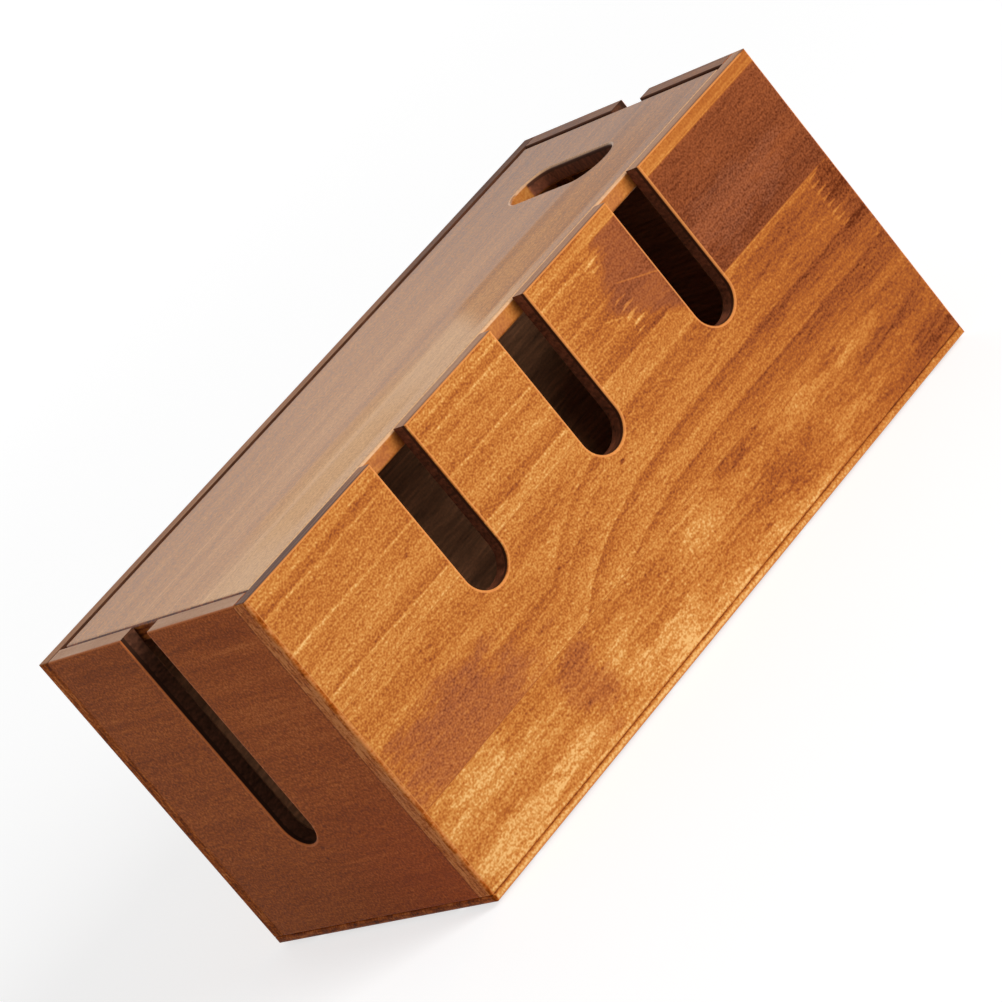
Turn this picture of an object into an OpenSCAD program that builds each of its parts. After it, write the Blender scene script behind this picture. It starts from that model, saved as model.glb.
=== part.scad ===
// Cable management box: a slotted wooden box that hides a power strip, with a lid that drops
// inside the rim and lifts out by a finger hole.
// Millimetres. X runs along the length, Y from front to back, Z up.
// The origin is the centre of the footprint, on the surface that the feet stand on.

/* [Box] */
// Outside length of the box
box_l = 303; // [260:1:400]
// Outside depth of the box, front to back
box_w = 141; // [120:1:200]
// Height from the underside of the base to the rim
box_h = 134; // [120:1:180]

/* [Boards] */
// Thickness of the four wall boards
wall_t = 7.5; // [6:0.5:12]
// Thickness of the base board
base_t = 3; // [2.5:0.5:6]
// Thickness of the lid board
lid_t = 7; // [5:0.5:10]

/* [Front slots] */
// Number of cable slots in the front board
slot_count = 3; // [1:1:3]
// Width of a front slot
slot_w = 20; // [12:0.5:28]
// Depth of a front slot below the rim
slot_depth = 62; // [30:1:90]
// Distance between the centres of neighbouring front slots
slot_pitch = 71; // [45:1:90]

/* [End slots] */
// Width of the slot in each end board
end_slot_w = 18; // [12:0.5:28]
// Depth of the end slot below the rim
end_slot_depth = 96; // [40:1:105]
// How far the end slot sits off the middle of its board
end_slot_offset = 3; // [0:0.5:12]

/* [Lid] */
// Gap between the edge of the lid and the walls, all round
lid_gap = 1; // [0.5:0.1:2]
// How far the top of the lid lies below the rim
lid_recess = 0.3; // [0:0.1:2]

/* [Finger hole] */
// Length of the finger hole, front to back
hole_l = 56; // [40:1:80]
// Width of the finger hole
hole_w = 22; // [16:0.5:30]
// Wood left between the finger hole and the right edge of the lid
hole_edge = 28; // [20:1:90]

/* [Lid rests] */
// Width and depth of a lid rest block
rest_w = 12; // [8:0.5:20]
// Height of a lid rest block
rest_h = 20; // [10:1:40]
// Bevel on the inner corner of a lid rest block
rest_bevel = 4; // [1:0.5:6]

/* [Feet] */
// Diameter of a foot pad
foot_d = 14; // [8:1:24]
// Thickness of a foot pad
foot_t = 1.5; // [1:0.1:5]
// Distance from the walls' outer faces to the centre of a foot pad
foot_inset = 16; // [14:1:40]

/* [Base screws] */
// Screws along each long wall
long_screws = 4; // [2:1:6]
// Screws along each end wall
end_screws = 2; // [2:1:3]
// Distance from a corner of the box to its nearest screws, along the wall
screw_edge = 25; // [22:1:45]
// Length of a screw, head included
screw_l = 15; // [12:0.5:25]
// Diameter of a screw's shank and of its pilot hole in the wall
screw_d = 2.5; // [2:0.1:3]
// Diameter of the countersunk head
head_d = 5; // [4:0.1:5]
// Clearance round the shank in the base board
screw_play = 0.3; // [0.1:0.1:0.5]

/* [Eased edges] */
// Rounding of the four upright corners of the box
corner_r = 2; // [0.5:0.1:3]
// Rounding of the long edges of the wall boards
board_r = 0.8; // [0.3:0.1:1.5]
// Rounding round the mouth of every slot
slot_r = 0.8; // [0.3:0.1:1.5]
// Rounding of the lid's edges
lid_r = 1.2; // [0.3:0.1:2]
// Rounding round the finger hole
hole_r = 1.2; // [0.3:0.1:2]
// Rounding of the base board's edges
base_r = 1.1; // [0.3:0.1:1.2]
// Bevel round the rim of a foot pad
foot_r = 0.4; // [0.1:0.1:0.9]

/* [Hidden] */
$fn = 64;
// Overshoot of a cutter past the face it cuts
past = 1;

floor_z = foot_t + base_t;
rim_z = foot_t + box_h;
wall_h = box_h - base_t;
end_l = box_w - 2 * wall_t;
inner_l = box_l - 2 * wall_t;
inner_w = box_w - 2 * wall_t;
lid_l = inner_l - 2 * lid_gap;
lid_w = inner_w - 2 * lid_gap;
lid_z = rim_z - lid_recess - lid_t;
hole_x = lid_l / 2 - hole_edge - hole_w / 2;
long_pitch = (box_l - 2 * screw_edge) / (long_screws - 1);
end_pitch = (box_w - 2 * screw_edge) / (end_screws - 1);
// A head with flanks at 45 degrees
head_h = (head_d - screw_d) / 2;
// Pointed end of a screw, and the room left past it in the pilot hole
tip_l = 2 * screw_d;
tip_room = 0.5;
// Cross recess in the head
recess_l = 0.55 * head_d;
recess_w = 0.12 * head_d;
recess_h = 0.6 * head_h;

face_colour = "#B9752F";
end_colour = "#8A4E27";
lid_colour = "#BE8F68";
base_colour = "#A86A32";
rest_colour = "#9C6234";
pad_colour = "#2E2A28";
screw_colour = "#B9BBBD";

// ---- Sections and solids shared by the boards ----

// The sliver between a square corner at the origin and a rounding of radius r
module corner_waste(r) {
    difference() {
        translate([-past, -past]) square(r + past);
        translate([r, r]) circle(r);
    }
}

// Rectangle centred on X and standing on Y = 0, with its lower and upper corners rounded
module eased_rect(w, h, r_low, r_high) {
    difference() {
        translate([-w / 2, 0]) square([w, h]);
        for (side = [0, 1]) mirror([side, 0]) {
            if (r_low > 0) translate([-w / 2, 0]) corner_waste(r_low);
            if (r_high > 0) translate([-w / 2, h]) mirror([0, 1]) corner_waste(r_high);
        }
    }
}

// Upright board: outer face on Y = 0, bottom on Z = 0, its long edges eased.
// end_r rounds the two upright corners of the outer face.
module wall_board(l, h, t, end_r) {
    intersection() {
        linear_extrude(h) eased_rect(l, t, end_r, 0);
        translate([0, t, 0]) rotate([90, 0, 0]) linear_extrude(t)
            eased_rect(l, h, end_r > 0 ? board_r : 0, end_r > 0 ? board_r : 0);
        translate([-l / 2, t / 2, 0]) rotate([90, 0, 90]) linear_extrude(l)
            eased_rect(t, h, board_r, board_r);
    }
}

// Flat board lying on Z = 0, with every edge of its two faces eased
module flat_board(l, w, t, plan_r, edge_r) {
    intersection() {
        translate([0, -w / 2, 0]) linear_extrude(t) eased_rect(l, w, plan_r, plan_r);
        translate([0, w / 2, 0]) rotate([90, 0, 0]) linear_extrude(w) eased_rect(l, t, edge_r, edge_r);
        translate([-l / 2, 0, 0]) rotate([90, 0, 90]) linear_extrude(l) eased_rect(w, t, edge_r, edge_r);
    }
}

// Section of the wood that a rounding-over cutter takes off both faces of a board of
// thickness t, beside an opening whose side is at X = r
module arris_waste(r, t, ease) {
    for (face = [0, 1]) translate([0, face * t]) mirror([0, face])
        difference() {
            translate([r - past / 2, -past]) square([ease + past / 2, ease + past]);
            translate([r + ease, ease]) circle(ease);
        }
}

// Cutter for a round-ended opening of width w and length l along Y, through a board of
// thickness t lying on Z = 0, with both arrises rounded over
module obround_cutter(w, l, t, ease) {
    r = w / 2;
    reach = l / 2 - r;
    translate([-r, -reach, -past]) cube([w, 2 * reach, t + 2 * past]);
    for (side = [0, 1]) mirror([side, 0, 0])
        translate([0, reach, 0]) rotate([90, 0, 0]) linear_extrude(2 * reach) arris_waste(r, t, ease);
    for (end = [-1, 1]) translate([0, end * reach, 0]) {
        translate([0, 0, -past]) cylinder(r = r, h = t + 2 * past);
        rotate_extrude() arris_waste(r, t, ease);
    }
}

// Cutter for a slot of width w that is open at the top of a wall board and ends depth below it.
// The upper round end lies clear above the rim.
module slot_cutter(w, depth) {
    l = depth + w;
    translate([0, wall_t, wall_h - depth + l / 2]) rotate([90, 0, 0]) obround_cutter(w, l, wall_t, slot_r);
}

// Puts its child where each screw's head lies flush with the underside of the base,
// in the middle of the wall's thickness
module at_screws() {
    for (side = [-1, 1]) {
        for (i = [0 : long_screws - 1])
            translate([screw_edge - box_l / 2 + i * long_pitch, side * (box_w - wall_t) / 2, foot_t])
                children();
        for (i = [0 : end_screws - 1])
            translate([side * (box_l - wall_t) / 2, screw_edge - box_w / 2 + i * end_pitch, foot_t])
                children();
    }
}

// A wall with the pilot holes of its base screws
module piloted() {
    difference() {
        children();
        at_screws() cylinder(r = screw_d / 2, h = screw_l + tip_room);
    }
}

// ---- Walls ----

module front_panel() {
    color(face_colour) piloted() translate([0, -box_w / 2, floor_z]) difference() {
        wall_board(box_l, wall_h, wall_t, corner_r);
        for (i = [0 : slot_count - 1])
            translate([(i - (slot_count - 1) / 2) * slot_pitch, 0, 0]) slot_cutter(slot_w, slot_depth);
    }
}

module back_panel() {
    color(face_colour) piloted() translate([0, box_w / 2, floor_z]) rotate([0, 0, 180])
        wall_board(box_l, wall_h, wall_t, corner_r);
}

// Both ends are the same board, turned end for end. It stands between the long boards.
module end_board() {
    difference() {
        wall_board(end_l, wall_h, wall_t, 0);
        translate([-end_slot_offset, 0, 0]) slot_cutter(end_slot_w, end_slot_depth);
    }
}

module left_end_panel() {
    color(end_colour) piloted() translate([-box_l / 2, 0, floor_z]) rotate([0, 0, -90])
        end_board();
}

module right_end_panel() {
    color(end_colour) piloted() translate([box_l / 2, 0, floor_z]) rotate([0, 0, 90])
        end_board();
}

// ---- Base and lid ----

// Flat sheet of the box's full outline, countersunk from below
module base_panel() {
    color(base_colour) difference() {
        translate([0, 0, foot_t]) flat_board(box_l, box_w, base_t, corner_r, base_r);
        at_screws() {
            cylinder(r = screw_d / 2 + screw_play, h = base_t + past);
            cylinder(r1 = head_d / 2, r2 = screw_d / 2, h = head_h);
        }
    }
}

module lid_panel() {
    color(lid_colour) translate([0, 0, lid_z]) difference() {
        flat_board(lid_l, lid_w, lid_t, corner_r, lid_r);
        translate([hole_x, 0, 0]) obround_cutter(hole_w, hole_l, lid_t, hole_r);
    }
}

// ---- Small parts ----

// Glued block in an inner corner of the walls, with its top under the lid.
// side_x and side_y are -1 or 1 and pick the corner.
module lid_rest(side_x, side_y) {
    free = rest_w - rest_bevel;
    color(rest_colour) translate([side_x * inner_l / 2, side_y * inner_w / 2, lid_z - rest_h])
        mirror([side_x > 0 ? 1 : 0, 0, 0]) mirror([0, side_y > 0 ? 1 : 0, 0]) linear_extrude(rest_h)
            polygon([[0, 0], [rest_w, 0], [rest_w, free], [free, rest_w], [0, rest_w]]);
}

// Self-adhesive pad under a corner of the base
module foot(side_x, side_y) {
    r = foot_d / 2;
    color(pad_colour) translate([side_x * (box_l / 2 - foot_inset), side_y * (box_w / 2 - foot_inset), 0])
        rotate_extrude() polygon([[0, 0], [r - foot_r, 0], [r, foot_r], [r, foot_t], [0, foot_t]]);
}

// Countersunk wood screw with its head down, drawn without its thread
module wood_screw() {
    difference() {
        rotate_extrude() polygon([[0, 0], [head_d / 2, 0], [screw_d / 2, head_h],
                                  [screw_d / 2, screw_l - tip_l], [0, screw_l]]);
        for (turn = [0, 90]) rotate([0, 0, turn])
            translate([-recess_l / 2, -recess_w / 2, -past]) cube([recess_l, recess_w, recess_h + past]);
    }
}

module base_screws() {
    color(screw_colour) at_screws() wood_screw();
}

front_panel();
back_panel();
left_end_panel();
right_end_panel();
base_panel();
lid_panel();
lid_rest(-1, -1);  // lid_rest_front_left
lid_rest(1, -1);  // lid_rest_front_right
lid_rest(-1, 1);  // lid_rest_back_left
lid_rest(1, 1);  // lid_rest_back_right
foot(-1, -1);  // foot_front_left
foot(1, -1);  // foot_front_right
foot(-1, 1);  // foot_back_left
foot(1, 1);  // foot_back_right
base_screws();
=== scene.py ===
"""Looks of the cable management box: lacquered wood glued up from staves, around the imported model."""

import math
from collections import namedtuple

import bpy
from mathutils import Matrix, Vector


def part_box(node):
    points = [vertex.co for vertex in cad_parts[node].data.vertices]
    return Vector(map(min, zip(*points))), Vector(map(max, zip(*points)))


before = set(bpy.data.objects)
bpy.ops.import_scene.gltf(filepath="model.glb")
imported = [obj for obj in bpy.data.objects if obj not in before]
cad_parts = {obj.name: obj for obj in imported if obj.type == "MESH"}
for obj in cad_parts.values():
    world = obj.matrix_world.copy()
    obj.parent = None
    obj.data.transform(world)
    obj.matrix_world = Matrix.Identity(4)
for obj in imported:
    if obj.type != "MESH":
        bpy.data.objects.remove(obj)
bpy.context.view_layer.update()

MM = 0.001
BASE_LOW, BASE_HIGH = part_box("base_panel")
LID_LOW, LID_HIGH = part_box("lid_panel")
RIM_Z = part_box("front_panel")[1].z


# ---- Node trees written as arithmetic ----

class Field:
    """A number that varies over a surface. Arithmetic on it adds Math nodes to its tree."""

    def __init__(self, tree, socket):
        self.tree = tree
        self.socket = socket

    def __add__(self, other):
        return self.tree.math("ADD", self, other)

    def __radd__(self, other):
        return self.tree.math("ADD", other, self)

    def __sub__(self, other):
        return self.tree.math("SUBTRACT", self, other)

    def __rsub__(self, other):
        return self.tree.math("SUBTRACT", other, self)

    def __mul__(self, other):
        return self.tree.math("MULTIPLY", self, other)

    def __rmul__(self, other):
        return self.tree.math("MULTIPLY", other, self)

    def __truediv__(self, other):
        return self.tree.math("DIVIDE", self, other)


class Tree:
    """One material and its node tree."""

    def __init__(self, name):
        self.material = bpy.data.materials.new(name)
        self.material.use_nodes = True
        self.nodes = self.material.node_tree.nodes
        self.links = self.material.node_tree.links
        self.nodes.clear()
        self.coords = self.add("ShaderNodeTexCoord")

    def add(self, kind, **settings):
        node = self.nodes.new(kind)
        for key, value in settings.items():
            setattr(node, key, value)
        return node

    def put(self, socket, value):
        if isinstance(value, Field):
            self.links.new(value.socket, socket)
        elif isinstance(value, bpy.types.NodeSocket):
            self.links.new(value, socket)
        else:
            socket.default_value = value

    def math(self, operation, *values):
        node = self.add("ShaderNodeMath", operation=operation)
        for socket, value in zip(node.inputs, values):
            self.put(socket, value)
        return Field(self, node.outputs[0])

    def split(self, vector):
        node = self.add("ShaderNodeSeparateXYZ")
        self.links.new(vector, node.inputs[0])
        return [Field(self, out) for out in node.outputs]

    def join(self, *values):
        node = self.add("ShaderNodeCombineXYZ")
        for socket, value in zip(node.inputs, values):
            self.put(socket, value)
        return node.outputs[0]

    def step(self, value, low, high):
        """Smooth rise from 0 at low to 1 at high."""
        node = self.add("ShaderNodeMapRange", interpolation_type="SMOOTHSTEP")
        for key, number in (("Value", value), ("From Min", low), ("From Max", high)):
            self.put(node.inputs[key], number)
        return Field(self, node.outputs["Result"])

    def noise(self, point, detail=2.0, roughness=0.5):
        """Noise about 0, mostly within -0.5 and 0.5."""
        node = self.add("ShaderNodeTexNoise", noise_dimensions="3D")
        self.put(node.inputs["Vector"], point)
        self.put(node.inputs["Scale"], 1.0)
        self.put(node.inputs["Detail"], detail)
        self.put(node.inputs["Roughness"], roughness)
        return Field(self, node.outputs["Fac"]) - 0.5

    def curve(self, value, stops):
        """Piecewise straight function through (value, result) stops in rising order, scaled into a ramp."""
        low, high = stops[0][0], stops[-1][0]
        bottom = min(result for _, result in stops)
        top = max(result for _, result in stops) + 1e-6
        node = self.add("ShaderNodeValToRGB")
        ramp = node.color_ramp
        for k, (place, result) in enumerate(stops):
            position = (place - low) / (high - low)
            level = (result - bottom) / (top - bottom)
            element = ramp.elements[k] if k < 2 else ramp.elements.new(position)
            element.position = position
            element.color = (level, level, level, 1.0)
        self.put(node.inputs["Fac"], (value - low) / (high - low))
        return Field(self, node.outputs["Color"]) * (top - bottom) + bottom

    def colours(self, value, stops):
        """Colour ramp over value, through (place, linear colour) stops in rising order."""
        node = self.add("ShaderNodeValToRGB")
        ramp = node.color_ramp
        for k, (place, colour) in enumerate(stops):
            element = ramp.elements[k] if k < 2 else ramp.elements.new(place)
            element.position = place
            element.color = (*colour, 1.0)
        self.put(node.inputs["Fac"], value)
        return node.outputs["Color"]

    def blend(self, colour, other, share):
        """colour where share is 0, other where it is 1."""
        if not isinstance(share, Field):
            return colour
        node = self.add("ShaderNodeMix", data_type="RGBA", clamp_factor=True)
        for socket, value in ((node.inputs["Factor"], share), (node.inputs[6], colour), (node.inputs[7], other)):
            self.put(socket, (*value, 1.0) if isinstance(value, tuple) else value)
        return node.outputs[2]

    def finish(self, colour, roughness, height, bump_mm, **constants):
        """Principled surface with a bump from a height field."""
        bump = self.add("ShaderNodeBump")
        bump.inputs["Distance"].default_value = bump_mm * MM
        bump.inputs["Strength"].default_value = 1.0
        self.put(bump.inputs["Height"], height)
        shader = self.add("ShaderNodeBsdfPrincipled")
        for key, value in constants.items():
            shader.inputs[key.replace("_", " ")].default_value = value
        self.put(shader.inputs["Base Color"], colour)
        self.put(shader.inputs["Roughness"], roughness)
        self.links.new(bump.outputs["Normal"], shader.inputs["Normal"])
        out = self.add("ShaderNodeOutputMaterial")
        self.links.new(shader.outputs[0], out.inputs["Surface"])
        return self.material


def linear(colour, less=0.0):
    """An 8-bit display colour as linear light, less a little for what the lacquer reflects."""
    values = []
    for channel in colour:
        c = channel / 255
        value = c / 12.92 if c <= 0.04045 else ((c + 0.055) / 1.055) ** 2.4
        values.append(max(value - less, 0.002))
    return tuple(values)


# ---- Wood ----

X, Y, Z = range(3)
WALL_ORIGIN = (0.0, 0.0, BASE_LOW.z)
LID_ORIGIN = (0.0, 0.0, LID_LOW.z)
# Heights over those origins: the base's and the lid's upper faces, and just under the walls' upper edges
BASE_TOP = (BASE_HIGH.z - BASE_LOW.z) / MM
LID_TOP = (LID_HIGH.z - LID_LOW.z) / MM
RIM_FOOT = (RIM_Z - BASE_LOW.z) / MM - 1.0

LACQUER_GLARE = 0.006
BOARD_IOR = 1.11
LID_IOR = 1.36
DULL_IOR = 1.07
BUMP_MM = 0.035
# How far an arris, paler with wear and a painted highlight, takes its own colour, and the v above which
# a wall's inner face takes its slots' darker colour: painted shade in the narrow gap by the lid
ARRIS_SHARE = 0.68
DARK_INNER_FROM = 122.0

# Stain from the darkest stave to the palest streak, by tone from 0 to 1
STAIN = [
    (0.00, (98, 46, 26)),
    (0.22, (148, 79, 44)),
    (0.42, (178, 101, 47)),
    (0.60, (200, 125, 60)),
    (0.78, (217, 149, 78)),
    (1.00, (242, 190, 120)),
]
# The ends take the stain a little redder, and the lid a little greyer
RED_STAIN = [
    (0.00, (90, 40, 12)),
    (0.25, (142, 68, 22)),
    (0.45, (176, 88, 32)),
    (0.65, (206, 110, 46)),
    (1.00, (238, 152, 86)),
]
GREY_STAIN = [
    (0.00, (120, 73, 44)),
    (0.40, (182, 119, 62)),
    (0.60, (207, 140, 74)),
    (1.00, (242, 187, 122)),
]
# Where the stain has bled redder on the ends
BLED_RED = [
    (0.00, (126, 34, 4)),
    (1.00, (206, 70, 12)),
]
# The upper edges are greyer and paler than the faces: the stain plus a painted sheen, standing in for the lacquer's
# reflection at a slant
RIM_STAIN_AND_SHEEN = [
    (0.00, (92, 52, 34)),
    (0.50, (180, 122, 82)),
    (1.00, (216, 172, 138)),
]
# Walls of the slots and the hole: darker as end grain and darker still as painted shade; SHADED_CUT_WOOD is the more
# shaded one for the ends and the back's inner face
CUT_WOOD_AND_SHADE = (118, 68, 46)
SHADED_CUT_WOOD = (86, 53, 38)
INNER_WOOD = (160, 112, 80)
# Arris colours, paler than the faces: partly wear, partly a painted highlight
WORN_AND_HIGHLIT_ARRIS = (240, 156, 86)
RED_ARRIS = (238, 138, 80)
PALE_ARRIS = (244, 196, 152)
HAZE = (190, 128, 100)

# An opening on a board's face: the middle of one opening as (u, v), half the length of its
# straight sides, its radius, how many more lie to each side of it, and their spacing
Outline = namedtuple("Outline", "middle_u middle_v reach radius aside pitch")


class Board:
    """Coordinates and building blocks of one board's wood.

    along, across and thick are the board's axes, as indexes into X, Y, Z. u, v and w are the
    places along them in millimetres, from origin. inner is the sign of the thick axis towards
    the inside of the box, or 0 on a board that has no inside. outer is the w of its outer face.
    openings is the part of the board where the walls of its slots or hole are bare and darkened, partly with painted
    shade, as (low u, high u, low v, high v), and outline is the shape of the slots or hole on the face.

    piece is the number of the stave, wear_and_highlight is 1 where the arrises are paler with wear and a painted
    highlight, rim_tone is the tone of the upper edge, and joint_wobble makes the ends of staves uneven."""

    def __init__(self, name, along, across, thick, origin, seed, inner=0.0, outer=0.0, openings=None,
                 outline=None):
        self.tree = tree = Tree(name)
        self.seed = seed
        self.inner = inner
        self.outer = outer
        self.openings = openings
        self.outline = outline
        axes = tree.split(tree.coords.outputs["Object"])
        self.u, self.v, self.w = ((axes[axis] - origin[axis]) / MM for axis in (along, across, thick))
        normal = tree.split(tree.coords.outputs["Normal"])
        self.facing_u = normal[along]
        self.facing_v = normal[across]
        self.facing_w = normal[thick]
        self.piece = 0.0
        self.wear_and_highlight = 1.0
        self.rim_tone = 0.5
        self.joint_wobble = self.texture(14.0, 2.2, 4.0, 33.0, 2.0, 0.6)

    def own_shift(self, seed):
        """A shift of the noise that differs from board to board, stave to stave and seed to seed."""
        return self.piece * 7.3 + (self.seed + seed * 3.7)

    def texture(self, run, rise, deep, seed, detail=2.0, roughness=0.5, v=None):
        """Noise with features run mm long, rise mm wide and deep mm thick, its own in each stave."""
        own = self.own_shift(seed)
        v = self.v if v is None else v
        point = self.tree.join(self.u / run + own, v / rise + own, self.w / deep + own)
        return self.tree.noise(point, detail, roughness)

    def relief(self, run, rise, deep, seed, shift, v):
        """Texture without its slow changes: the difference between two places shift mm apart in v."""
        low, high = (self.texture(run, rise, deep, seed, 1.0, 0.5, v + shift * side) for side in (-0.5, 0.5))
        return high - low

    def above(self, height, soft=0.25):
        """0 below v = height, 1 above it."""
        return self.tree.step(self.v, height - soft, height + soft)

    def between(self, value, low, high, soft=0.5):
        """1 where value is between low and high, 0 outside."""
        return self.tree.step(value, low - soft, low + soft) * self.tree.step(value, high + soft, high - soft)

    def patch(self, u, v, run, rise, warp):
        """1 at the middle of a soft-edged oval patch, 0 outside it."""
        offset = self.tree.join((self.u - u) / run, (self.v - v) / rise, 0.0)
        length = self.tree.add("ShaderNodeVectorMath", operation="LENGTH")
        self.tree.links.new(offset, length.inputs[0])
        return self.tree.step(Field(self.tree, length.outputs["Value"]) + warp, 1.2, 0.5)

    def patches(self, warp, *marks):
        """The sum of several patches, each (u, v, run, rise, strength)."""
        parts = (self.patch(u, v, run, rise, warp) * strength for u, v, run, rise, strength in marks)
        return sum(parts, 0.0)

    def hairline(self, distance, half_width=0.35):
        """1 on a joint line, where distance is 0, and 0 away from it."""
        return self.tree.step(self.tree.math("ABSOLUTE", distance), half_width, 0.05)

    def stroke(self, start, end, half_width=0.4):
        """1 along a thin straight mark from start to end, both (u, v), and 0 away from it."""
        slope = (end[1] - start[1]) / (end[0] - start[0])
        distance = self.v - start[1] - (self.u - start[0]) * slope
        return self.hairline(distance, half_width) * self.between(self.u, start[0], end[0], 1.0)

    def finger_tips(self, at, length=7.0, pitch=3.35, loose=1.0):
        """1 on the pale blunt tips of a finger joint that starts at u = at, 0 between them. loose
        is how unevenly they are spaced and start."""
        bent = self.texture(9.0, 3.0, 4.0, 51.0) * (2.5 * loose)
        first = 2.2
        comb = self.tree.math("PINGPONG", (self.v + bent + first) / pitch, 0.5) * 2.0
        along = self.u + self.texture(60.0, 1.6, 4.0, 52.0) * (10.0 * loose)
        taper = (along - at) / length * 0.3
        return self.tree.step(comb - taper, 0.40, 0.80) * self.between(along, at, at + length, 1.0)

    def arris(self):
        """1 on the rounding between the outer face and an edge of the board, 0 on both; there the colour is paler with
        wear and a painted highlight. On the wide rounding at the corners of the box only the part by the face takes it."""
        square = self.facing_w * self.facing_w
        rounded = self.tree.step(square * (1.0 - square) * 4.0, 0.10, 0.60)
        corner = self.tree.step(self.facing_u * self.u, 7.0, 21.0)
        by_face = 1.0 - corner * self.tree.step(square, 0.86, 0.74)
        wear_and_highlight = self.tree.math("MAXIMUM", rounded * by_face, self.by_opening() * self.tree.step(square, 0.5, 0.9))
        return wear_and_highlight * (1.0 - self.inside()) * self.wear_and_highlight

    def by_opening(self):
        """1 in a narrow band round the slots or the hole, 0 elsewhere."""
        if not self.outline:
            return 0.0
        tree, shape = self.tree, self.outline
        nearest = (self.u - shape.middle_u) / shape.pitch
        nearest = tree.math("MAXIMUM", tree.math("MINIMUM", nearest, shape.aside), -shape.aside)
        sideways = self.u - shape.middle_u - tree.math("ROUND", nearest) * shape.pitch
        beyond = tree.math("MAXIMUM", tree.math("ABSOLUTE", self.v - shape.middle_v) - shape.reach, 0.0)
        distance = tree.math("SQRT", sideways * sideways + beyond * beyond) - shape.radius
        return tree.step(distance, 1.15, 0.80) * tree.step(self.facing_v * self.facing_v, 0.5, 0.2)

    def rim(self):
        """1 on the upper edge of a wall."""
        return self.tree.step(self.facing_v, 0.70, 0.90) * self.above(RIM_FOOT)

    def end_grain(self):
        """1 on the outer ends of the board, across the grain."""
        return self.tree.step(self.facing_u * self.u, 50.0, 90.0)

    def inside(self):
        """1 on the face towards the inside of the box."""
        if not self.inner:
            return 0.0
        return self.tree.step(self.facing_w * self.inner, 0.05, 0.35)

    def cut(self):
        """1 on the bare walls of the slots and the hole, which are darker partly as end grain and partly as painted
        shade, 0 on the faces and the outer edges.
        """
        if not self.openings:
            return 0.0
        low_u, high_u, low_v, high_v = self.openings
        wall = self.tree.step(self.facing_w * self.facing_w, 0.34, 0.06)
        upright = self.tree.step(self.facing_v, 0.6, 0.3) * self.above(RIM_FOOT)
        reach = self.tree.math("MAXIMUM", self.between(self.v, low_v, high_v, 0.2), upright)
        return wall * self.between(self.u, low_u, high_u) * reach


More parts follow.
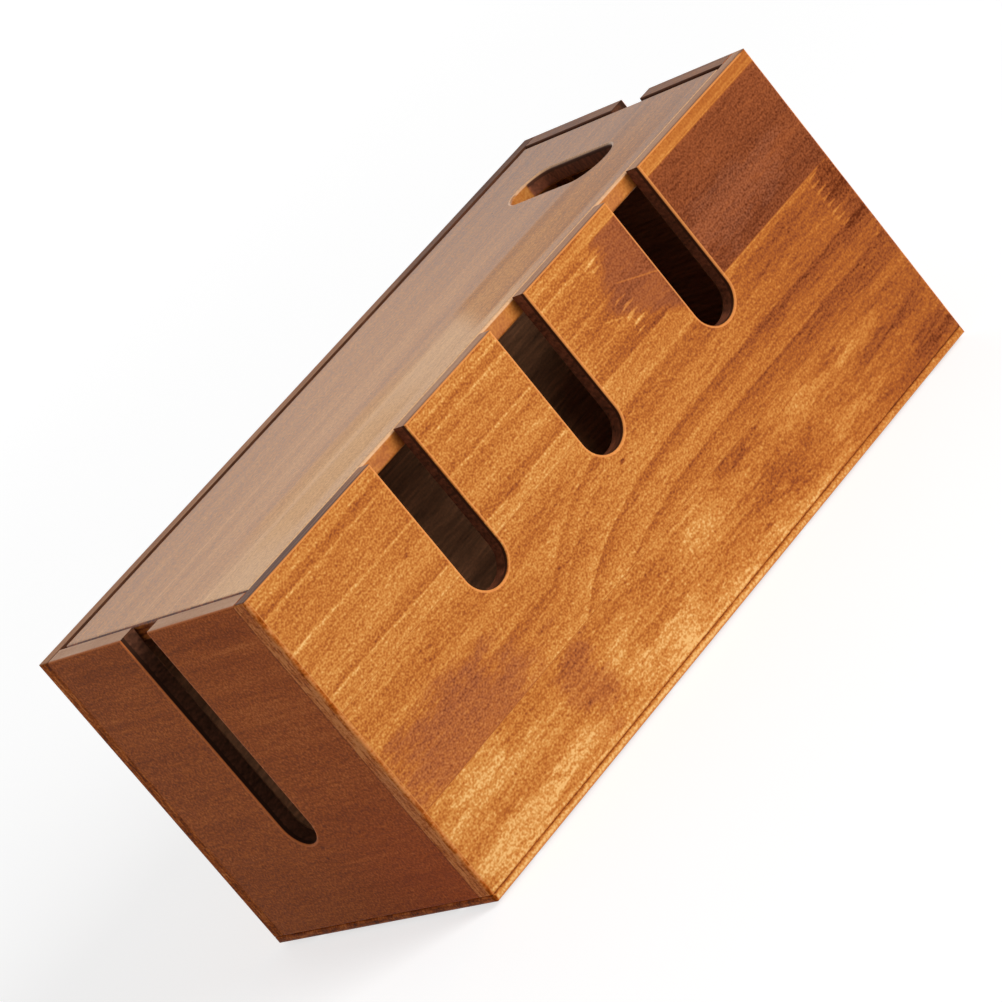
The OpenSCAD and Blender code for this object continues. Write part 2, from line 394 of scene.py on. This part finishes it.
def wood(board, tone, grain=1.0, speck=1.0, cloud=1.0, stain=STAIN, end_tone=None, side_stain=None, haze=0.0,
         bleed=None, dull=0.0, cut_wood=CUT_WOOD_AND_SHADE, arris_wood=WORN_AND_HIGHLIT_ARRIS, has_rim=False, ior=BOARD_IOR):
    """The finished material of a board whose staves and features give tone.

    grain, speck and cloud are the strengths of the figure's parts. end_tone is the tone of the end
    grain, and side_stain the stain of the board's edges. haze and bleed say where the stain is
    greyer and redder, and dull where the lacquer is matt."""
    tree = board.tree

    def stained(tone, stops):
        return tree.colours(tone, [(place, linear(colour, LACQUER_GLARE)) for place, colour in stops])

    v = board.v + board.texture(160.0, 30.0, 40.0, 1.0) * 9.0
    lines = board.texture(260.0, 2.0, 8.0, 2.0, 2.0, 0.5, v)
    bands = board.texture(420.0, 8.0, 14.0, 3.0, 2.0, 0.5, v)
    flecks = board.relief(7.0, 1.5, 2.4, 4.0, 0.9, v)
    specks = board.texture(0.84, 0.76, 0.84, 5.0, 0.0)
    grit = board.texture(1.15, 1.0, 1.15, 9.0, 0.0)
    clouds = board.texture(22.0, 9.0, 15.0, 7.0, 2.0, 0.55)
    arris, inside, cut = board.arris(), board.inside(), board.cut()

    if end_tone is not None:
        ends = board.end_grain()
        pith = board.texture(4.0, 7.0, 1.1, 21.0, 1.0)
        tone = tone * (1.0 - ends) + ends * (pith * 1.5 + end_tone)
    tone = tone + (lines * 0.20 + bands * 0.44 + flecks * 0.28) * grain
    tone = tone + (specks * 0.60 + grit * 0.30) * speck + clouds * cloud * 0.24
    colour = stained(tone, stain)
    if end_tone is not None:
        colour = tree.blend(colour, stained(tone, RED_STAIN), ends)
    if side_stain is not None:
        colour = tree.blend(colour, stained(tone, side_stain), tree.step(board.facing_w, 0.6, 0.3))
    if isinstance(haze, Field):
        colour = tree.blend(colour, linear(HAZE), haze * (specks * 1.5 + 0.6))
    if bleed is not None:
        colour = tree.blend(colour, stained(tone, BLED_RED), bleed)
    # The upper edge takes the greyer, paler rim stain: painted sheen
    if has_rim:
        streak = board.texture(60.0, 60.0, 1.2, 23.0, 2.0) + board.texture(30.0, 30.0, 9.0, 24.0, 2.0)
        colour = tree.blend(colour, stained(streak * 0.45 + specks * 0.3 + board.rim_tone, RIM_STAIN_AND_SHEEN), board.rim())
    # The arrises take a paler colour: wear and a painted highlight
    colour = tree.blend(colour, linear(arris_wood), arris * ARRIS_SHARE)

    # The walls of the slots and the hole take the darker cut colour: partly end grain, partly painted shade
    if board.openings:
        # by_face darkens the walls within about 2 mm of the outer face: a painted shade line along the arris
        by_face = tree.step(tree.math("ABSOLUTE", board.w - board.outer), 2.2, 1.2)
        shade = specks * 0.25 + flecks * 0.5 + clouds * 0.5 + 0.5
        colour = tree.blend(colour, tree.colours(shade - by_face * 0.8, deep_tones(cut_wood)), cut)
    if board.inner:
        shade = clouds * 0.22 + bands * 0.32 + lines * 0.34 + flecks * 0.22 + specks * 0.14 + 0.5
        # Above DARK_INNER_FROM the inner face takes the darker cut colour: painted shade under the lid
        hidden = tree.blend(tree.colours(shade, deep_tones(INNER_WOOD)),
                            tree.colours(shade, deep_tones(cut_wood)), board.above(DARK_INNER_FROM, 2.0))
        colour = tree.blend(colour, hidden, inside)
    roughness = 0.34 + specks * 0.12 + flecks * 0.08 - arris * 0.06 + inside * 0.2 + cut * 0.15 + dull * 0.28
    height = flecks * 0.5 + specks * 0.5
    if board.inner or board.openings:
        height = height * (1.0 - tree.math("MAXIMUM", inside, cut))
    return tree.finish(colour, roughness, height, BUMP_MM, IOR=ior)


def deep_tones(colour):
    """Ramp stops for a dark surface: a little below colour to a little above it."""
    return [(place, linear([channel * level for channel in colour]))
            for place, level in ((0.30, 0.70), (0.50, 1.0), (0.72, 1.30))]


FRONT_SLOTS = Outline(middle_u=0.0, middle_v=182.0, reach=100.0, radius=10.0, aside=1.0, pitch=71.0)


def front_wood():
    """Three rows of staves. The upper row is finger-jointed to a dark stave towards the right,
    the middle one has a flame figure that levels out to the right, and the lower one is mottled."""
    board = Board("front_wood", X, Z, Y, WALL_ORIGIN, 11.0, inner=1.0, outer=-70.5,
                  openings=(-140.0, 140.0, 20.0, RIM_FOOT + 0.4), outline=FRONT_SLOTS)
    tree, u = board.tree, board.u
    middle, upper, strip = 40.0, 84.5, 128.6
    in_upper = board.above(upper)
    in_middle = board.above(middle) * (1.0 - in_upper)
    in_lower = 1.0 - board.above(middle)
    board.piece = in_upper + in_middle * 2.0
    to_right = tree.step(u, -20.0, 165.0)
    pale_strip = board.above(strip) * tree.step(u, 15.0, 60.0)

    # The upper row, and where its dark stave begins
    wobble = board.joint_wobble
    dark_edge = tree.curve(board.v, [
        (84, 62), (89, 57), (94.7, 46), (98, 41), (102, 36), (106.8, 32), (110, 35), (116, 38), (121, 42), (128.6, 45)])
    after_dark = tree.step(u - dark_edge + wobble * 12.0, -3.5, 6.0) * in_upper * (1.0 - board.above(strip))
    by_slot = after_dark * tree.step(u, 64.0, 56.0)
    after_end = tree.step(u + wobble * 8.0, 140.5, 145.0) * in_middle * board.above(60.0, 3.0)
    ripple = board.texture(70.0, 14.0, 20.0, 31.0)
    streaks = tree.curve(board.v + ripple * 2.4, [
        (84, 0.12), (89.4, 0.12), (90.2, 0.26), (91.0, -0.10), (96, -0.02), (104, 0.02), (108.8, 0.02),
        (109.8, 0.24), (110.8, -0.10), (114, -0.02), (120, -0.01), (124.0, 0.03), (124.8, 0.20),
        (125.6, -0.10), (128, -0.10), (129.2, -0.04), (130.0, 0.14), (130.8, -0.08), (132, 0.04), (134, -0.12)])

    # The middle row
    rise = 21.7 * tree.math("EXPONENT", (u + 52.0) / -29.0)
    flame = board.v + tree.math("MINIMUM", rise, 24.0) + ripple * 2.5
    figure = tree.curve(flame, [
        (40, 0.0), (42, 0.06), (47.5, -0.02), (49.2, -0.16), (49.9, 0.12), (53, 0.08), (58, 0.0), (61.4, -0.14),
        (62.2, -0.18), (62.9, 0.16), (66, 0.10), (72, 0.0), (74.4, -0.04), (75.2, 0.08), (78, 0.0),
        (81.0, -0.10), (82.2, 0.12), (88, 0.02), (108, -0.02)])
    warp = board.texture(15.0, 5.0, 10.0, 32.0, 3.0, 0.65) * 3.0 + wobble * 1.6
    cloud_mark = board.patch(-118, 44, 43, 25, warp * 0.45)
    blotch = cloud_mark * in_middle

    # The lower row
    pale = board.patches(
        warp, (-126, 35, 20, 6, 0.19), (-124, 28, 24, 5, 0.10), (-130, 10, 28, 6, 0.20), (-84, 12, 16, 5, 0.16),
        (-52, 20, 9, 12, 0.14), (-30, 12, 20, 6, 0.17), (6, 32, 16, 8, 0.17), (80, 30, 22, 4, 0.16),
        (66, 35, 10, 3, 0.12), (113, 31, 15, 4, 0.15), (88, 14, 16, 5, 0.16), (55, 6, 40, 2.4, 0.16))
    dark_patch = board.patch(-69, 24, 11, 20, warp)
    deep = dark_patch * 0.17 + board.patches(
        warp, (36, 38, 12, 5, 0.22), (44, 20, 26, 7, 0.16), (54, 11, 10, 5, 0.16), (138, 9, 14, 6, 0.13),
        (126, 24, 26, 4, 0.13), (-20, 30, 14, 7, 0.08))
    by_foot = tree.step(board.v, 13.0, 5.0) * tree.curve(u, [
        (-152, 0.13), (-110, 0.09), (-75, 0.05), (-45, 0.10), (10, 0.12), (30, 0.0), (92, 0.0), (112, -0.06)])
    by_foot = by_foot + board.hairline(board.v - 4.3, 1.0) * tree.step(u, 125.0, 50.0) * 0.16

    # Knots, finger joints, scratches and glue lines
    knots = board.patches(warp * 0.3, (-43, 90, 5, 1.4, 0.24), (-93, 103.5, 2.2, 0.8, 0.25))
    knots = knots + board.patch(-2, 67.5, 1.5, 1.0, 0.0) * 0.4
    tips = board.finger_tips(37.2) * board.between(board.v, 93.5, 107.5) * 0.38
    tips = tips + board.finger_tips(36.4) * board.between(board.v, 118.0, 128.0) * 0.26
    tips = tips + board.finger_tips(136.8, 5.0, 3.0, 0.25) * board.between(board.v, 60.0, 83.5) * 0.34
    gaps = board.between(u, 37.0, 43.0, 1.5) * board.between(board.v, 93.0, 107.5) * 0.04
    gaps = gaps + board.between(u, 137.5, 143.0, 1.5) * board.between(board.v, 60.0, 83.5) * 0.12
    marks = board.stroke((43.0, 111.5), (60.0, 103.5), 0.6) * 0.26
    marks = marks + board.stroke((22.0, 108.0), (37.0, 101.0), 0.6) * 0.14
    marks = marks - board.stroke((98.0, 20.5), (148.0, 25.6), 0.6) * 0.09
    marks = marks - board.stroke((60.0, 34.6), (80.0, 35.4)) * 0.16
    line = board.hairline(board.v - middle) * tree.step(u, 20.0, -80.0) * 1.4
    line = line - board.hairline(board.v - upper + 0.5) * tree.step(u, 40.0, 80.0) * 1.6
    line = line - board.hairline(board.v - strip - 0.5) * tree.step(u, 20.0, 60.0) * 1.6
    line = line + board.hairline(board.v - BASE_TOP, 0.8) * 3.0

    in_streaks = (streaks - tree.step(u, 5.0, 30.0) * 0.05) * (1.0 - after_dark - pale_strip * 0.4)
    in_figure = figure * (0.88 - cloud_mark * 0.7 - to_right * 0.46) - 0.02 - cloud_mark * 0.21
    tone = 0.58 + in_upper * in_streaks - after_dark * 0.45 + by_slot * 0.10 - after_end * 0.16
    tone = tone + in_middle * in_figure + in_lower * (pale - deep + 0.03)
    # to_right also darkens the whole face towards the right: painted shade
    tone = tone - knots + tips - gaps + marks + by_foot + pale_strip * 0.14 - to_right * (1.0 - after_dark) * 0.28
    haze = blotch * 0.22 + by_slot * 0.08 + dark_patch * in_lower * 0.14
    haze = haze + after_dark * (board.patch(104, 100, 30, 12, warp) * 0.12 + 0.08)
    speck = 1.0 - blotch * 0.1 - after_dark * 0.5 - pale_strip * 0.3 - to_right * (1.0 - after_dark) * 0.35
    calm = 1.0 - (blotch + after_dark + pale_strip) * 0.5
    board.rim_tone = (
        0.64 - tree.step(u, -50.0, -110.0) * 0.58 - tree.step(u, 80.0, 140.0) * 0.10
        - tree.step(board.w, -68.2, -69.6) * 0.35)
    board.wear_and_highlight = tree.step(board.v, 7.0, 11.0) * tree.step(u, 149.0, 147.0)
    return wood(board, tone - line * 0.08, grain=calm, speck=speck, cloud=calm, end_tone=0.78, haze=haze,
                has_rim=True)


def row_wood(name, along, across, thick, origin, seed, base, rows, joints=(), inner=0.0, outer=0.0, openings=None,
             outline=None, extra=None, rim_tone=0.5, **looks):
    """Staves side by side. base is the board's tone, rows are (v where the stave starts, its change
    of tone), and joints are (row, u of a joint, change of tone after it). extra gives a further
    change of tone and further looks."""
    board = Board(name, along, across, thick, origin, seed, inner, outer, openings, outline)
    board.rim_tone = rim_tone
    tree = board.tree
    wobble = board.joint_wobble
    tone = base
    piece = 0.0
    lines = 0.0
    tips = 0.0
    starts = [start for start, change in rows]
    for k, (start, change) in enumerate(rows):
        in_row = board.above(start)
        if k + 1 < len(rows):
            in_row = in_row * (1.0 - board.above(starts[k + 1]))
        tone = tone + in_row * change
        piece = piece + in_row * float(k)
        for row, at, shift in joints:
            if row == k:
                after = tree.step(board.u - at + wobble * 10.0, -1.0, 1.0) * in_row
                tone = tone + after * shift
                tips = tips + board.finger_tips(at - 4.0) * in_row * abs(shift)
        if k:
            lines = lines + board.hairline(board.v - start)
    board.piece = piece
    if across == Z:
        board.wear_and_highlight = tree.step(board.v, 7.0, 11.0)
    if extra:
        change, more = extra(board)
        tone = tone + change
        looks.update(more)
    return wood(board, tone - lines * 0.05 + tips * 0.7, **looks)


def end_marks(board):
    """The outer part of an end board: streaks and small dark spots, redder towards the front and below."""
    step, u, v = board.tree.step, board.u, board.v
    warp = board.texture(26.0, 4.0, 10.0, 32.0, 3.0, 0.6) * 2.4
    deep = board.patches(0.0, (-2.0, 36.0, 1.2, 1.0, 0.22), (0.0, 31.0, 1.0, 0.9, 0.20)) + board.patches(
        warp, (-38.0, 124.0, 30.0, 3.0, 0.12), (-40.0, 114.5, 26.0, 2.0, 0.08), (-24.0, 60.0, 12.0, 1.6, 0.10),
        (-30.0, 47.0, 22.0, 4.0, 0.07), (34.0, 124.0, 30.0, 4.0, 0.08), (40.0, 52.0, 30.0, 4.0, 0.05))
    pale = (
        board.patches(warp * 0.5, (-46.0, 119.0, 24.0, 1.0, 0.10))
        + board.patches(warp, (28.0, 113.0, 16.0, 4.0, 0.08), (-34.0, 88.0, 24.0, 12.0, 0.05))
        + board.patches(warp * 0.3, (-22.0, 27.5, 24.0, 0.7, 0.10)))
    joint = board.hairline(u + 62.6, 0.7)
    to_front = step(u, 20.0, -60.0) * (step(v, 60.0, 110.0) * 0.05 + 0.03)
    red = step(u, 30.0, -60.0) * 0.10 + step(u, 20.0, -50.0) * step(v, 70.0, 10.0) * 0.25
    return pale - deep - joint * 0.20 + to_front + 0.02, {"bleed": red}


def back_marks(board):
    """The back's upper edge is darker towards the right."""
    board.rim_tone = board.rim_tone - board.tree.step(board.u, 10.0, 110.0) * 0.42
    return 0.0, {}


def base_marks(board):
    """The arris under the walls takes no arris colour, stain has gathered in the joint, and the front edge is paler
    with a painted highlight.
    """
    step, u, w = board.tree.step, board.u, board.w
    board.wear_and_highlight = step(w, 2.0, 1.0)
    # paler lightens the front edge, most at the left: a painted highlight
    paler = board.tree.curve(u, [
        (-152, 0.38), (-60, 0.36), (-10, 0.42), (30, 0.32), (60, 0.23), (100, 0.10), (125, 0.03), (152, 0.0)])
    edge = board.hairline(w - BASE_TOP * 0.5, 1.3) * step(board.facing_v, -0.3, -0.6)
    return edge * paler - step(w, 2.5, BASE_TOP) * 0.25, {}


def lid_marks(board):
    """A pale left end, duller patches by the front edge, long faint lines and a greyer right end."""
    step, u = board.tree.step, board.u
    board.wear_and_highlight = step(board.w, 4.0, 5.5)
    v = board.v + board.texture(110.0, 40.0, 60.0, 42.0) * 8.0
    side = step(board.facing_w, 0.6, 0.3)
    left_half = step(u, 20.0, -40.0)
    right = step(u, -10.0, 150.0)
    from_left = step(u - v * 0.55, 22.0, 36.0) * step(u, 160.0, 50.0)
    main = from_left * board.between(v, -54.0, -21.0, 2.0)
    left = step(u, -118.0, -90.0) * step(u, 0.0, -40.0) * board.between(v, -32.0, -18.0, 2.0)
    lower = step(u, -130.0, -95.0) * step(u, -20.0, -60.0) * board.between(v, -54.0, -35.0, 3.0)
    front = step(v, -16.0, -40.0) * step(u, 40.0, 0.0) * (1.0 - main)
    lines = (board.hairline(v + 33.0, 1.0) + board.hairline(v + 9.0, 0.8) + board.hairline(v - 14.0, 1.6)) * left_half
    dark = board.hairline(v + 29.5, 0.8) * left_half + board.hairline(v + 52.0, 1.0) * main
    tone = lines * 0.12 - dark * 0.12 + front * 0.25 - right * 0.28 + left * 0.12 - lower * 0.01 + main * 0.02
    tone = tone + left_half * 0.03 - step(v, 10.0, 50.0) * left_half * 0.06
    dull = main * 0.48 + left * 0.28 + lower * 0.34
    return tone * (1.0 - side) + side * 0.05, {"dull": dull * (1.0 - side), "speck": 1.0 - side * 0.5}


# ---- Other materials ----

def rubber(name):
    """Black rubber with a fine grit."""
    tree = Tree(name)
    point = tree.join(*(axis / (0.6 * MM) for axis in tree.split(tree.coords.outputs["Object"])))
    grit = tree.noise(point, 3.0, 0.6)
    colour = tree.colours(grit + 0.5, [(0.3, linear((34, 31, 29))), (0.8, linear((62, 57, 52)))])
    return tree.finish(colour, 0.85 + grit * 0.2, grit, 0.05, IOR=1.45)


def zinc(name):
    """Zinc-plated steel with a faint patina and fine scratches."""
    tree = Tree(name)
    axes = tree.split(tree.coords.outputs["Object"])
    patina = tree.noise(tree.join(*(axis / (1.4 * MM) for axis in axes)), 3.0, 0.6)
    scratch = tree.noise(tree.join(axes[0] / (0.15 * MM), axes[1] / (2.0 * MM), axes[2] / MM))
    colour = tree.colours(patina + 0.5, [(0.3, linear((150, 152, 150))), (0.75, linear((206, 206, 200)))])
    return tree.finish(colour, 0.38 + scratch * 0.3, scratch, 0.01, Metallic=1.0)


# ---- Materials onto the pieces ----

def dress(name, material):
    """Gives a piece its one material."""
    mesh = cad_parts[name].data
    mesh.materials.clear()
    mesh.materials.append(material)


dress("front_panel", front_wood())
dress("back_panel", row_wood(
    "back_wood", X, Z, Y, WALL_ORIGIN, seed=23.0, base=0.56, rows=[(0.0, 0.02), (46.0, -0.08), (88.0, 0.04)],
    joints=[(0, -62.0, -0.12), (1, 74.0, 0.12), (2, -18.0, -0.06)], inner=-1.0, outer=70.5, extra=back_marks,
    end_tone=0.47, cut_wood=SHADED_CUT_WOOD, rim_tone=0.46, has_rim=True, ior=DULL_IOR))
for side, seed, inner, rim_tone in (("left", 41.0, 1.0, 0.72), ("right", 53.0, -1.0, 0.22)):
    dress(f"{side}_end_panel", row_wood(
        f"{side}_end_wood", Y, Z, X, WALL_ORIGIN, seed=seed, base=0.47,
        rows=[(0.0, 0.0), (36.0, 0.01), (88.0, -0.01)], inner=inner, outer=-151.5 * inner,
        openings=(-40.0, 40.0, 20.0, RIM_FOOT + 0.4),
        outline=Outline(middle_u=3.0 * inner, middle_v=147.0, reach=100.0, radius=9.0, aside=0.0, pitch=71.0),
        extra=end_marks, stain=RED_STAIN, grain=0.7, cloud=0.35, cut_wood=SHADED_CUT_WOOD, arris_wood=RED_ARRIS,
        rim_tone=rim_tone, has_rim=True))
dress("lid_panel", row_wood(
    "lid_wood", X, Y, Z, LID_ORIGIN, seed=67.0, base=0.53, rows=[(-70.0, 0.0), (-19.0, 0.01), (22.0, -0.01)],
    outer=LID_TOP, openings=(101.0, 125.0, -40.0, 27.2),
    outline=Outline(middle_u=104.0, middle_v=0.0, reach=17.0, radius=11.0, aside=0.0, pitch=71.0),
    extra=lid_marks, stain=GREY_STAIN, side_stain=STAIN, end_tone=0.15, arris_wood=PALE_ARRIS, grain=0.95, cloud=0.5,
    ior=LID_IOR))
dress("base_panel", row_wood(
    "base_wood", X, Y, Z, WALL_ORIGIN, seed=71.0, base=0.58, rows=[(-80.0, 0.0), (-8.0, -0.03)], extra=base_marks,
    grain=0.9, end_tone=0.44))
REST_WOOD = row_wood("rest_wood", Z, X, Y, WALL_ORIGIN, seed=83.0, base=0.46, rows=[(-200.0, 0.0)])
RUBBER = rubber("foot_rubber")
for corner in ("front_left", "front_right", "back_left", "back_right"):
    dress(f"lid_rest_{corner}", REST_WOOD)
    dress(f"foot_{corner}", RUBBER)
dress("base_screws", zinc("zinc_steel"))


# ---- Floor, background and light ----

FLOOR_RADIUS = 12.0
FLOOR_GLOW = 0.70
FLOOR_SHARE = 0.50
FLOOR_PALE = 0.80
AMBIENT = 0.24


def seen_ray(nodes, links):
    """1 where the eye, a reflection or glass looks, 0 where light is only gathered."""
    path = nodes.new("ShaderNodeLightPath")
    seen = path.outputs["Is Camera Ray"]
    for name in ("Is Glossy Ray", "Is Transmission Ray"):
        either = nodes.new("ShaderNodeMath")
        either.operation = "MAXIMUM"
        links.new(seen, either.inputs[0])
        links.new(path.outputs[name], either.inputs[1])
        seen = either.outputs[0]
    return seen


def make_floor():
    """A pale floor. What the eye sees of it is mostly white, and the rest takes the shadow."""
    bpy.ops.mesh.primitive_circle_add(vertices=96, radius=FLOOR_RADIUS, fill_type="NGON")
    floor = bpy.context.object
    floor.name = "floor"
    tree = Tree("pale_floor")
    tree.material.cycles.emission_sampling = "NONE"
    grit = tree.noise(tree.coords.outputs["Object"])
    pale = tree.colours(grit + 0.5, [(0.0, (FLOOR_PALE - 0.02,) * 3), (1.0, (FLOOR_PALE + 0.02,) * 3)])
    matt = tree.add("ShaderNodeBsdfDiffuse")
    tree.links.new(pale, matt.inputs["Color"])
    seen_matt = tree.add("ShaderNodeBsdfDiffuse")
    seen_matt.inputs["Color"].default_value = (FLOOR_SHARE, FLOOR_SHARE, FLOOR_SHARE, 1.0)
    glow = tree.add("ShaderNodeEmission")
    glow.inputs["Strength"].default_value = FLOOR_GLOW
    both = tree.add("ShaderNodeAddShader")
    tree.links.new(seen_matt.outputs[0], both.inputs[0])
    tree.links.new(glow.outputs[0], both.inputs[1])
    pick = tree.add("ShaderNodeMixShader")
    tree.links.new(seen_ray(tree.nodes, tree.links), pick.inputs["Fac"])
    tree.links.new(matt.outputs[0], pick.inputs[1])
    tree.links.new(both.outputs[0], pick.inputs[2])
    out = tree.add("ShaderNodeOutputMaterial")
    tree.links.new(pick.outputs[0], out.inputs["Surface"])
    floor.data.materials.append(tree.material)


def make_world():
    """A white studio to look at, which gives only soft light."""
    world = bpy.data.worlds.new("studio")
    world.use_nodes = True
    world.cycles.sampling_method = "NONE"
    bpy.context.scene.world = world
    nodes, links = world.node_tree.nodes, world.node_tree.links
    background = nodes["Background"]
    background.inputs["Color"].default_value = (1.0, 1.0, 1.0, 1.0)
    level = nodes.new("ShaderNodeMapRange")
    level.inputs["To Min"].default_value = AMBIENT
    level.inputs["To Max"].default_value = 1.0
    links.new(seen_ray(nodes, links), level.inputs["Value"])
    links.new(level.outputs["Result"], background.inputs["Strength"])


def lamp(name, power, size, place, aim=(0.0, 0.0, 0.06)):
    """A soft round lamp that neither the eye nor a reflection sees."""
    data = bpy.data.lights.new(name, "AREA")
    data.shape = "DISK"
    data.size = size
    data.energy = power
    light = bpy.data.objects.new(name, data)
    bpy.context.scene.collection.objects.link(light)
    light.location = place
    light.rotation_euler = (Vector(aim) - Vector(place)).to_track_quat("-Z", "Y").to_euler()
    light.visible_camera = False
    light.visible_glossy = False


make_floor()
make_world()
lamp("key", power=57.0, size=1.6, place=(0.75, -2.3, 1.15))
lamp("back_fill", power=18.0, size=1.6, place=(0.9, 2.4, 0.7))


# ---- Camera ----

SENSOR = 36.0
LENS = 171.7
TARGET = Vector((-0.00375, 0.00266, 0.0693))
DISTANCE = 1.7005
AZIMUTH = math.radians(-32.57)
ELEVATION = math.radians(15.01)
ROLL = math.radians(-39.48)


def make_camera():
    """The camera at its angle, rolled about its line of sight."""
    back = Vector((
        math.sin(AZIMUTH) * math.cos(ELEVATION),
        -math.cos(AZIMUTH) * math.cos(ELEVATION),
        math.sin(ELEVATION)))
    level_right = Vector((0.0, 0.0, 1.0)).cross(back).normalized()
    level_up = back.cross(level_right)
    right = math.cos(ROLL) * level_right + math.sin(ROLL) * level_up
    up = back.cross(right)
    data = bpy.data.cameras.new("camera")
    data.sensor_width = SENSOR
    data.lens = LENS
    data.clip_start = 0.05
    data.clip_end = 50.0
    camera = bpy.data.objects.new("camera", data)
    bpy.context.scene.collection.objects.link(camera)
    turn = Matrix((right, up, back)).transposed().to_4x4()
    camera.matrix_world = Matrix.Translation(TARGET + back * DISTANCE) @ turn
    bpy.context.scene.camera = camera


make_camera()
bpy.context.scene.view_settings.view_transform = "Standard"
